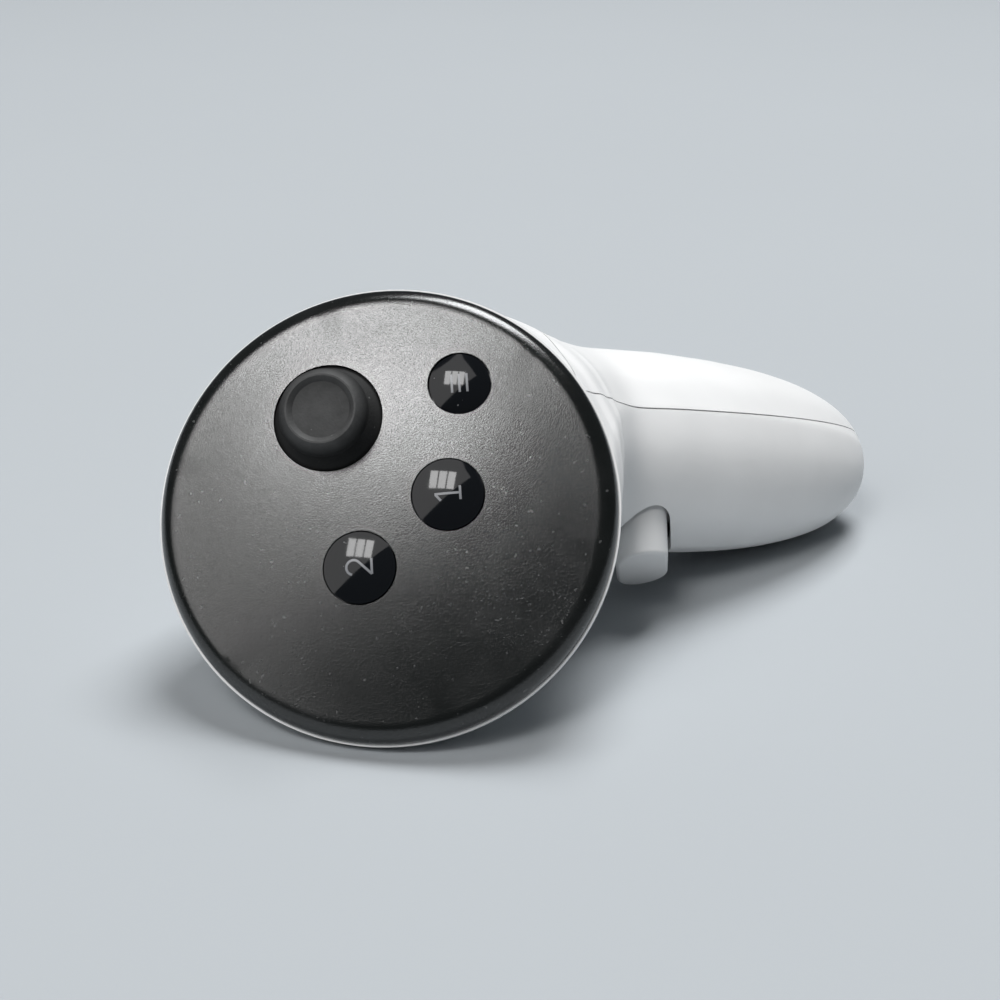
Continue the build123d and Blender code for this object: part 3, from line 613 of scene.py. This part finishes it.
@dataclass(frozen=True)
class TablePaper:
    """Pale matte table top."""

    name: str
    colour: tuple
    roughness: float = 0.85
    drift_scale: float = 6.0
    drift_detail: float = 3.0
    drift_shade: float = 0.97
    fibre_scale: float = 900.0
    fibre_detail: float = 2.0
    fibre_depth: float = 0.00003
    fibre_strength: float = 0.3

    def make(self) -> bpy.types.Material:
        """Return the material."""
        maker = NodeMaker(self.name)
        here = maker.here()
        drift = maker.noise(here, self.drift_scale, self.drift_detail)
        darker = tuple(part * self.drift_shade for part in self.colour)
        fibre = maker.noise(here, self.fibre_scale, self.fibre_detail)
        values = {
            "Base Color": maker.mix(drift, darker, self.colour),
            "Roughness": self.roughness,
            "Normal": maker.bump(fibre, self.fibre_depth, self.fibre_strength),
        }
        return maker.finish(values)


def link_object(name: str, data: object) -> bpy.types.Object:
    """Make an object and link it to the scene.

    Args:
        name: the object's name.
        data: its mesh, light or camera.

    Returns:
        The object.
    """
    made = bpy.data.objects.new(name, data)
    bpy.context.scene.collection.objects.link(made)
    return made


def mesh_object(name: str, points: list, faces: list) -> bpy.types.Object:
    """Make an object from plain points and faces.

    Args:
        name: the object's name.
        points: vertices in the row frame, in metres.
        faces: tuples of vertex numbers.

    Returns:
        The object, linked to the scene.
    """
    mesh = bpy.data.meshes.new(name)
    mesh.from_pydata([tuple(point) for point in points], [], faces)
    mesh.update()
    return link_object(name, mesh)


@dataclass(frozen=True)
class PackedFrame:
    """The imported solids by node, and each node's material slot.

    The weld and the sliver are lengths in metres.
    """

    nodes: dict
    slots: dict
    weld: float = 2e-6
    sliver: float = 1e-6

    def smooth(self, mesh: bpy.types.Mesh, crease: float) -> None:
        """Weld a mesh and shade it smooth between its creases.

        Args:
            mesh: the mesh to change.
            crease: the angle in degrees above which an edge stays sharp.
        """
        normals = mesh.attributes.get("custom_normal")
        if normals:
            mesh.attributes.remove(normals)
        work = bmesh.new()
        work.from_mesh(mesh)
        bmesh.ops.remove_doubles(work, verts=work.verts, dist=self.weld)
        bmesh.ops.dissolve_degenerate(work, edges=work.edges, dist=self.sliver)
        limit = math.radians(crease)
        for edge in work.edges:
            edge.smooth = len(edge.link_faces) == 2 and edge.calc_face_angle(0.0) < limit
        for face in work.faces:
            face.smooth = True
        work.to_mesh(mesh)
        work.free()

    def skin(self, node: str, crease: float, finish: bpy.types.Material) -> bpy.types.Object:
        """Copy a solid's mesh as its visible skin.

        Args:
            node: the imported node's name.
            crease: the angle in degrees above which an edge stays sharp.
            finish: its material.

        Returns:
            The skin, riding on the node's body in the node's place.
        """
        source = self.nodes[node]
        mesh = source.data.copy()
        mesh.name = node + "_skin"
        self.smooth(mesh, crease)
        made = link_object(node + "_skin", mesh)
        mesh.materials.clear()
        mesh.materials.append(finish)
        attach(made, source["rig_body"])
        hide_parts(node)
        log.info("skin %s: %d faces", node, len(mesh.polygons))
        return made

    def skins(self, nodes: tuple, crease: float, finish: bpy.types.Material) -> list:
        """Copy several solids' meshes as skins of one material.

        Args:
            nodes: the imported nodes' names.
            crease: the angle in degrees above which an edge stays sharp.
            finish: their material.

        Returns:
            The skins.
        """
        return [self.skin(node, crease, finish) for node in nodes]


@dataclass
class Shell:
    """White shell, battery cover, trigger and grip button."""

    crease: float = 32.0
    nodes: tuple = ("main_housing", "battery_cover", "trigger", "grip_button")
    white: MouldedPlastic = MouldedPlastic(
        "white_plastic", (0.88, 0.88, 0.875), roughness=0.42, grain_depth=0.000006
    )

    def build(self, packed: PackedFrame) -> list:
        """Return the skins.

        Args:
            packed: the solids.
        """
        return packed.skins(self.nodes, self.crease, self.white.make())


@dataclass
class Mark:
    """A thin printed mark made of strokes that follow a button's dome, in mm."""

    name: str
    body: str
    centre: tuple
    dome_top: float
    dome_radius: float
    strokes: tuple
    width: float = 0.34
    rise: float = 0.015
    steps: int = 10

    def on_dome(self, x: float, y: float) -> Vector:
        """Place a point of the mark on the dome.

        Args:
            x: offset from the dome's centre to the palm side, in mm.
            y: offset forward, in mm.

        Returns:
            The point in the row frame, in metres.
        """
        sphere = self.dome_radius
        height = self.dome_top - sphere + math.sqrt(sphere**2 - x**2 - y**2) + self.rise
        return WAND.at(self.centre[0] + x, self.centre[1] + y, height)

    def dense(self, stroke: tuple) -> list:
        """Divide a stroke into short runs.

        Args:
            stroke: its corner points.

        Returns:
            The points along it.
        """
        points = []
        for (x0, y0), (x1, y1) in zip(stroke, stroke[1:]):
            for step in range(self.steps):
                share = step / self.steps
                points.append((x0 + (x1 - x0) * share, y0 + (y1 - y0) * share))
        points.append(stroke[-1])
        return points

    def build(self, ink: bpy.types.Material, slot: str) -> bpy.types.Object:
        """Build the mark.

        Args:
            ink: its material.
            slot: the record's material slot; not used.

        Returns:
            The mark's object.
        """
        vertices, faces = [], []
        for stroke in self.strokes:
            points = self.dense(stroke)
            start, last = len(vertices), len(points) - 1
            for index, (x, y) in enumerate(points):
                ahead, behind = points[min(index + 1, last)], points[max(index - 1, 0)]
                run = Vector((ahead[0] - behind[0], ahead[1] - behind[1])).normalized()
                for aside in (-self.width / 2, self.width / 2):
                    vertices.append(self.on_dome(x - run.y * aside, y + run.x * aside))
            for first in range(start, start + 2 * last, 2):
                faces.append((first, first + 2, first + 3, first + 1))
        made = mesh_object(self.name, vertices, faces)
        made.data.materials.append(ink)
        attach(made, self.body)
        log.info("mark %s: %d faces", self.name, len(faces))
        return made


@dataclass
class BarRow:
    """Evenly spaced bars made by a node tree, then laid on a button's dome, in mm."""

    name: str
    count: int = 3
    spacing: float = 1.1
    length: float = 2.7
    width: float = 0.34
    length_steps: int = 13
    width_steps: int = 3

    def tree(self, ink: bpy.types.Material) -> bpy.types.NodeTree:
        """Build the node tree.

        Args:
            ink: the bars' material.

        Returns:
            The tree, with its count and sizes as inputs.
        """
        tree = bpy.data.node_groups.new(self.name, "GeometryNodeTree")
        face = tree.interface
        face.new_socket("Geometry", in_out="OUTPUT", socket_type="NodeSocketGeometry")
        face.new_socket("Geometry", in_out="INPUT", socket_type="NodeSocketGeometry")
        face.new_socket("Count", in_out="INPUT", socket_type="NodeSocketInt")
        for label in ("Spacing", "Length", "Width"):
            face.new_socket(label, in_out="INPUT", socket_type="NodeSocketFloat")
        given = tree.nodes.new("NodeGroupInput")
        step = tree.nodes.new("ShaderNodeCombineXYZ")
        row = tree.nodes.new("GeometryNodeMeshLine")
        bar = tree.nodes.new("GeometryNodeMeshGrid")
        copies = tree.nodes.new("GeometryNodeInstanceOnPoints")
        real = tree.nodes.new("GeometryNodeRealizeInstances")
        dressed = tree.nodes.new("GeometryNodeSetMaterial")
        result = tree.nodes.new("NodeGroupOutput")
        bar.inputs["Vertices X"].default_value = self.length_steps
        bar.inputs["Vertices Y"].default_value = self.width_steps
        dressed.inputs["Material"].default_value = ink
        links = (
            (given.outputs["Spacing"], step.inputs["Y"]),
            (given.outputs["Count"], row.inputs["Count"]),
            (step.outputs[0], row.inputs["Offset"]),
            (given.outputs["Length"], bar.inputs["Size X"]),
            (given.outputs["Width"], bar.inputs["Size Y"]),
            (row.outputs["Mesh"], copies.inputs["Points"]),
            (bar.outputs["Mesh"], copies.inputs["Instance"]),
            (copies.outputs["Instances"], real.inputs["Geometry"]),
            (real.outputs["Geometry"], dressed.inputs["Geometry"]),
            (dressed.outputs["Geometry"], result.inputs[0]),
        )
        for start, end in links:
            tree.links.new(start, end)
        return tree

    def flat(self, ink: bpy.types.Material) -> bpy.types.Mesh:
        """Make the bars as one plain flat mesh that starts at the first bar.

        Args:
            ink: the bars' material.

        Returns:
            The mesh, in mm.
        """
        holder = link_object(self.name, bpy.data.meshes.new(self.name))
        maker = holder.modifiers.new("bars", "NODES")
        maker.node_group = self.tree(ink)
        values = {
            "Count": self.count,
            "Spacing": self.spacing,
            "Length": self.length,
            "Width": self.width,
        }
        for item in maker.node_group.interface.items_tree:
            if item.in_out == "INPUT" and item.name in values:
                maker[item.identifier] = values[item.name]
        bpy.context.view_layer.update()
        seen = holder.evaluated_get(bpy.context.evaluated_depsgraph_get())
        mesh = bpy.data.meshes.new_from_object(seen)
        bpy.data.objects.remove(holder)
        return mesh

    def build(self, mark: Mark, ink: bpy.types.Material, slot: str) -> bpy.types.Object:
        """Lay the bars on the dome that a mark describes.

        Args:
            mark: the dome's place, height and body.
            ink: the bars' material.
            slot: the record's material slot; not used.

        Returns:
            The bars' object.
        """
        mesh = self.flat(ink)
        middle = self.spacing * (self.count - 1) / 2
        for point in mesh.vertices:
            point.co = mark.on_dome(-point.co.x, point.co.y - middle)
        mesh.update()
        made = link_object(self.name, mesh)
        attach(made, mark.body)
        log.info("bars %s: %d faces", self.name, len(mesh.polygons))
        return made


def arc(centre: tuple, radius: float, start: float, stop: float, steps: int = 14) -> list:
    """Divide an arc.

    Args:
        centre: its centre.
        radius: its radius.
        start: its first angle in degrees.
        stop: its last angle in degrees.
        steps: how many runs it has.

    Returns:
        The points along it.
    """
    turns = [math.radians(start + (stop - start) * step / steps) for step in range(steps + 1)]
    return [(centre[0] + radius * math.cos(a), centre[1] + radius * math.sin(a)) for a in turns]


@dataclass(frozen=True)
class Button:
    """A domed button, in mm, and its mark's name."""

    node: str
    mark: str
    centre: tuple
    radius: float
    proud: float
    crown: float = 0.5

    def dome(self) -> float:
        """Return the radius of the button's dome."""
        return (self.radius**2 + self.crown**2) / (2 * self.crown)


@dataclass
class Face:
    """Black face, its buttons and their marks, in mm."""

    crease: float = 30.0
    disc_radius: float = 30.2
    crown: float = 1.1
    edge_rise: float = 2.75
    buttons: tuple = (
        Button("button_a", "mark_one", (0.9, -9.3), radius=5.1, proud=0.55),
        Button("button_b", "mark_two", (-8.5, 3.8), radius=5.1, proud=0.55),
        Button("menu_button", "mark_bars", (17.1, -11.9), radius=4.45, proud=0.2),
    )
    digit_half: float = 1.8
    one_flag: tuple = (-0.95, 1.0)
    one_stem: float = 0.05
    one_foot: tuple = (-0.95, 1.05)
    two_centre: tuple = (0.0, 0.75)
    two_radius: float = 1.05
    two_turn: tuple = (165.0, -38.0)
    two_foot: tuple = (-1.1, 1.15)
    black: MouldedPlastic = MouldedPlastic(
        "black_grain",
        (0.006, 0.0072, 0.0068),
        roughness=0.18,
        grain=Grain.MEDIUM,
        grain_depth=0.00003,
        dust=0.25,
        hairlines=0.2,
        specular=0.55,
        sparkle=0.6,
    )
    gloss: GlossCap = GlossCap("gloss_black", (0.006, 0.007, 0.0085))
    ink: MouldedPlastic = MouldedPlastic(
        "mark_grey", (0.17, 0.175, 0.19), roughness=0.3, grain_depth=0.000002
    )

    def face_height(self, x: float, y: float) -> float:
        """Return the height of the face over a point on it.

        Args:
            x: to the palm side, in mm.
            y: forward, in mm.

        Returns:
            The height, in mm.
        """
        sphere = (self.disc_radius**2 + self.crown**2) / (2 * self.crown)
        return self.edge_rise + self.crown - sphere + math.sqrt(sphere**2 - x**2 - y**2)

    def one(self) -> tuple:
        """Return the strokes of a figure one."""
        top, bottom = self.digit_half, -self.digit_half
        stem = (self.one_flag, (self.one_stem, top), (self.one_stem, bottom))
        return (stem, tuple((x, bottom) for x in self.one_foot))

    def two(self) -> tuple:
        """Return the strokes of a figure two."""
        foot = tuple((x, -self.digit_half) for x in self.two_foot)
        bowl = arc(self.two_centre, self.two_radius, *self.two_turn)
        return (tuple(bowl) + foot[:1], foot)

    def marks(self) -> list:
        """Return the buttons' marks, the last of them without strokes."""
        marks = []
        for button, strokes in zip(self.buttons, (self.one(), self.two(), ())):
            place = (button.mark, button.node, button.centre)
            top = self.face_height(*button.centre) + button.proud
            marks.append(Mark(*place, top, button.dome(), strokes))
        return marks

    def build(self, packed: PackedFrame) -> list:
        """Build the face's pieces.

        Args:
            packed: the solids.

        Returns:
            The pieces.
        """
        pieces = [packed.skin("faceplate", self.crease, self.black.make())]
        nodes = tuple(button.node for button in self.buttons)
        pieces += packed.skins(nodes, self.crease, self.gloss.make())
        ink = self.ink.make()
        *digits, menu = self.marks()
        pieces += [mark.build(ink, "gloss_black") for mark in digits]
        pieces.append(BarRow(menu.name).build(menu, ink, "gloss_black"))
        return pieces


@dataclass
class Thumbstick:
    """Thumbstick cap and the module under it."""

    crease: float = 35.0
    moving: tuple = ("stick_stem", "stick_cradle", "stick_arch")
    rubber: SoftRubber = SoftRubber("stick_rubber", (0.003, 0.0034, 0.0034))
    steel: WorkedMetal = WorkedMetal("module_steel", (0.62, 0.62, 0.63))
    grey: MouldedPlastic = MouldedPlastic("inner_plastic", (0.2, 0.2, 0.21), roughness=0.5)

    def build(self, packed: PackedFrame) -> list:
        """Build the thumbstick's pieces.

        Args:
            packed: the solids.

        Returns:
            The pieces.
        """
        pieces = [packed.skin("stick_cap", self.crease, self.rubber.make())]
        pieces += packed.skins(self.moving, self.crease, self.grey.make())
        pieces.append(packed.skin("stick_base", self.crease, self.steel.make()))
        return pieces


@dataclass
class Insides:
    """Boards, frame, battery and small metal pieces, grouped by material."""

    crease: float = 35.0
    board: LacqueredBoard = LacqueredBoard("board_lacquer", (0.015, 0.08, 0.035))
    boards: tuple = (
        "main_board",
        "light_ring_board",
        "trigger_sensor_board",
        "grip_sensor_board",
    )
    plastic: MouldedPlastic = MouldedPlastic("frame_plastic", (0.16, 0.16, 0.17), roughness=0.5)
    mouldings: tuple = ("inner_frame", "battery_cradle")
    steel: WorkedMetal = WorkedMetal("small_steel", (0.55, 0.55, 0.56))
    metals: tuple = (
        "face_screws",
        "tray_screws",
        "trigger_pin",
        "grip_pin",
        "trigger_spring",
        "grip_spring",
        "contact_spring",
        "contact_plate",
        "trigger_magnet",
        "grip_magnet",
        "haptic_motor",
        "tact_switches",
    )
    black: MouldedPlastic = MouldedPlastic("sensor_plastic", (0.03, 0.03, 0.03), roughness=0.4)
    sensors: tuple = ("stick_sensor_right", "stick_sensor_rear", "stick_click_switch")
    silicone: SoftRubber = SoftRubber(
        "mat_silicone", (0.3, 0.3, 0.31), roughness=0.5, shade_below=-9.0, shade_clear_at=0.0
    )
    lens: GlossCap = GlossCap("dark_lens", (0.05, 0.02, 0.04), roughness=0.08)
    sleeve: CellSleeve = CellSleeve("cell_wrap", (0.1, 0.105, 0.12), (0.5, 0.36, 0.12))

    def build(self, packed: PackedFrame) -> list:
        """Build the inner pieces.

        Args:
            packed: the solids.

        Returns:
            The pieces.
        """
        groups = (
            (self.board, self.boards),
            (self.plastic, self.mouldings),
            (self.steel, self.metals),
            (self.black, self.sensors),
            (self.silicone, ("button_mat",)),
            (self.lens, ("tracking_lights",)),
            (self.sleeve, ("battery_cell",)),
        )
        pieces = []
        for finish, nodes in groups:
            pieces += packed.skins(nodes, self.crease, finish.make())
        return pieces


@dataclass(frozen=True)
class Lamp:
    """Soft lamp that faces the origin from a direction in the camera's axes.

    The distance, size and shift aside are in metres, the power in watts and the roll
    in degrees.
    """

    name: str
    heading: tuple
    distance: float
    size: tuple
    power: float
    colour: tuple = (1.0, 1.0, 1.0)
    roll: float = 0.0
    aside: float = 0.0

    def build(self, axes: Matrix) -> None:
        """Add the lamp.

        Args:
            axes: the camera's axes in the row frame, as columns.
        """
        data = bpy.data.lights.new(self.name, "AREA")
        data.shape = "RECTANGLE"
        data.size, data.size_y = self.size
        data.energy = self.power
        data.color = self.colour
        back = (axes @ Vector(self.heading)).normalized()
        side = (axes @ Vector((0.0, 1.0, 0.0))).cross(back).normalized()
        turned = Matrix((side, back.cross(side), back)).transposed()
        turned = turned @ Matrix.Rotation(math.radians(self.roll), 3, "Z")
        placed = turned.to_4x4()
        placed.translation = back * self.distance + turned @ Vector((self.aside, 0.0, 0.0))
        link_object(self.name, data).matrix_world = placed
        log.info("lamp %s", self.name)


@dataclass
class Studio:
    """Table, lamps, room and camera.

    The camera's axes and the point that it looks at are in the wand's frame, with the
    distances in mm. The backdrop is the room's brightness where the camera sees it,
    beyond the little that it gives as light.
    """

    table_size: float = 6.0
    table: TablePaper = TablePaper("table_paper", (0.4, 0.425, 0.445))
    world_colour: tuple = (0.86, 0.93, 1.0)
    world_strength: float = 0.06
    backdrop: float = 0.5
    focal_pixels: float = 1500.0
    clip_start: float = 0.005
    distance: float = 215.64
    offset: tuple = (-16.165812, -1.6273632, 0.0)
    right: tuple = (-0.0682318, -0.9933348, -0.0929)
    up: tuple = (0.9757602, -0.0858509, 0.2013)
    back: tuple = (-0.2079338, -0.0769131, 0.9751143)
    pane_count: int = 3
    pane_step: float = 0.176
    pane: Lamp = Lamp("pane", (-0.27, 0.53, 0.80), distance=1.8, size=(0.15, 0.36), power=3.0)
    wall: Lamp = Lamp(
        "wall",
        (-0.419, 0.454, 0.7835),
        distance=2.4,
        size=(2.2, 1.1),
        power=18.0,
        colour=(1.0, 0.99, 0.98),
        roll=49.5,
    )
    sky: Lamp = Lamp(
        "sky",
        (0.15, 0.95, 0.1),
        distance=2.2,
        size=(1.2, 0.9),
        power=52.0,
        colour=(0.98, 0.99, 1.0),
    )

    def axes(self) -> Matrix:
        """Return the camera's axes in the row frame, as columns."""
        return WAND.turn() @ Matrix((self.right, self.up, self.back)).transposed()

    def build_table(self) -> None:
        """Lay the table top."""
        half = self.table_size / 2
        corners = [(-half, -half, 0), (half, -half, 0), (half, half, 0), (-half, half, 0)]
        made = mesh_object("table_top", corners, [(0, 1, 2, 3)])
        made.data.materials.append(self.table.make())

    def build_lights(self) -> None:
        """Add the window's panes, the bright wall and the light from above."""
        axes = self.axes()
        for index in range(self.pane_count):
            aside = (index - (self.pane_count - 1) / 2) * self.pane_step
            replace(self.pane, name=f"pane_{index}", aside=aside).build(axes)
        self.wall.build(axes)
        self.sky.build(axes)

    def build_room(self) -> None:
        """Surround the scene with a faint light that the camera sees brighter."""
        world = bpy.data.worlds.new("room")
        world.use_nodes = True
        tree = world.node_tree
        shade = tree.nodes["Background"]
        shade.inputs["Color"].default_value = (*self.world_colour, 1.0)
        seen = tree.nodes.new("ShaderNodeLightPath")
        level = tree.nodes.new("ShaderNodeMath")
        level.operation = "MULTIPLY_ADD"
        level.inputs[1].default_value = self.backdrop
        level.inputs[2].default_value = self.world_strength
        tree.links.new(seen.outputs["Is Camera Ray"], level.inputs[0])
        tree.links.new(level.outputs[0], shade.inputs["Strength"])
        bpy.context.scene.world = world

    def build_camera(self) -> None:
        """Set the camera where the photograph was taken from."""
        data = bpy.data.cameras.new("photo_camera")
        data.sensor_width = SENSOR_MM
        data.lens = SENSOR_MM * self.focal_pixels / PHOTO_PIXELS
        data.clip_start = self.clip_start
        camera = link_object("photo_camera", data)
        columns = Matrix((self.right, self.up, self.back)).transposed()
        spot = columns @ (Vector((0.0, 0.0, self.distance)) - Vector(self.offset))
        placed = self.axes().to_4x4()
        placed.translation = WAND.at(*spot)
        camera.matrix_world = placed
        bpy.context.scene.camera = camera

    def build(self) -> None:
        """Build the studio."""
        self.build_table()
        self.build_lights()
        self.build_room()
        self.build_camera()
        bpy.context.scene.view_settings.view_transform = "Standard"


def main() -> None:
    """Load the frame, build the studio and dress every piece."""
    logging.basicConfig(level=logging.INFO, format="%(message)s")
    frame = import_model()
    slots = {row["node"]: row["material_slot"] for row in frame["record"]["subparts"]}
    packed = PackedFrame(frame["nodes"], slots)
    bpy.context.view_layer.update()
    Studio().build()
    for assembly in (Shell(), Face(), Thumbstick(), Insides()):
        made = assembly.build(packed)
        log.info("%s: %d pieces", type(assembly).__name__, len(made))


if __name__ == "__main__":
    main()
